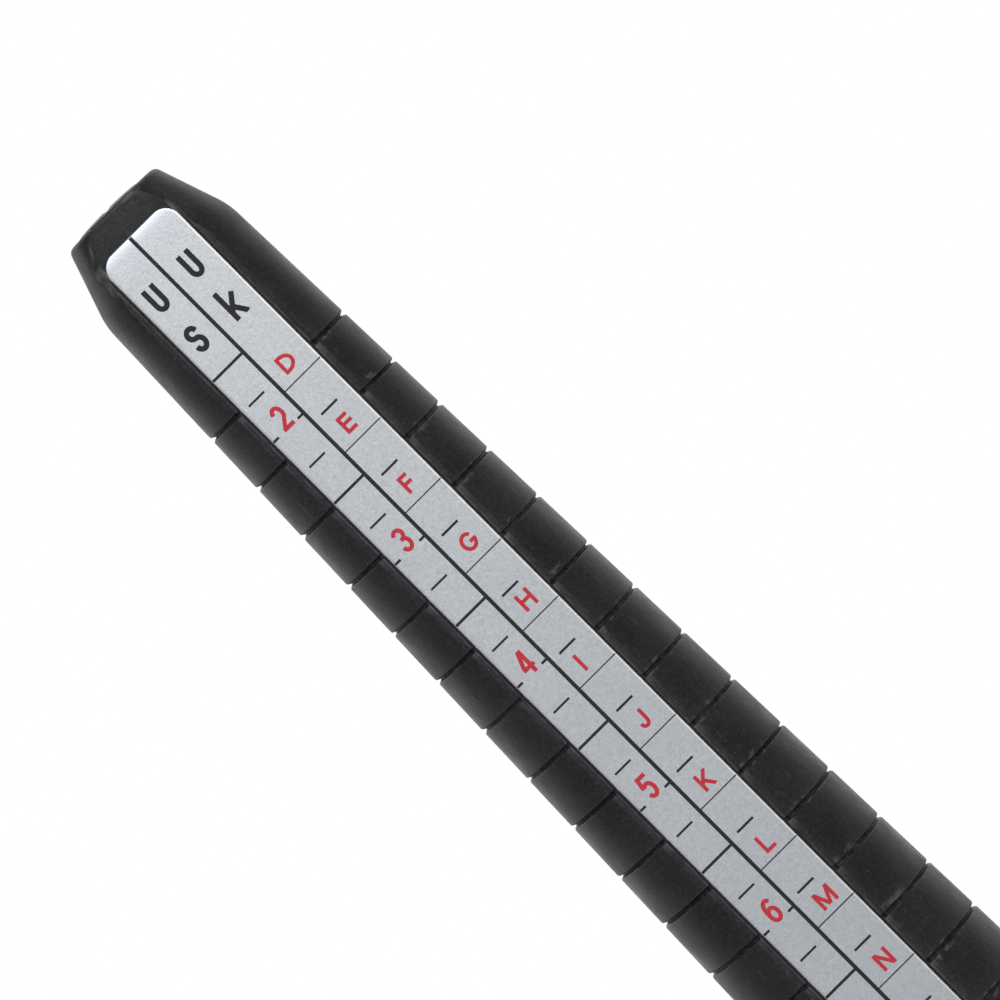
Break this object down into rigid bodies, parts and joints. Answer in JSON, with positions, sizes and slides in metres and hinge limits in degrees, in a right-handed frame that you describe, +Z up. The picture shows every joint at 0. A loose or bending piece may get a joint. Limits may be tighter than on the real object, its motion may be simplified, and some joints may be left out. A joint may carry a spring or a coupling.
{
  "type": "ring mandrel",
  "caption": "Tapered ring sizing mandrel: grooved black plastic shaft with inset metal scale plates front and back, and a fluted handle with a collar.",
  "frame": {"origin": "centre of the flat butt that the mandrel stands on", "axes": "+Z up the shaft's axis towards the tip, the US / UK scale plate faces -Y, the EU / JP scale plate faces +Y, +X to the right of someone reading the US / UK scale with the tip up"},
  "size_m": [0.0278, 0.0278, 0.2716],
  "materials": {
    "shaft_plastic": "black moulded plastic, satin, fine grain",
    "grip_plastic": "black moulded plastic, matt",
    "inner_plastic": "unpigmented moulded plastic",
    "scale_aluminium": "satin silver with a fine grain, printed scales",
    "scale_ink_black": "printed black ink",
    "scale_ink_red": "printed red ink",
    "adhesive_tape": "double-sided tape",
    "zinc_steel": "bright zinc plate"
  },
  "bodies": {
    "root": {"shaft_moulding": "shaft_plastic", "front_scale_plate": "scale_aluminium", "back_scale_plate": "scale_aluminium", "front_adhesive_strip": "adhesive_tape", "back_adhesive_strip": "adhesive_tape", "spigot_plug": "inner_plastic", "handle_collar": "grip_plastic", "handle_grip": "grip_plastic", "handle_screw": "zinc_steel", "screw_washer": "zinc_steel", "handle_end_cap": "grip_plastic"}
  },
  "joints": []
}
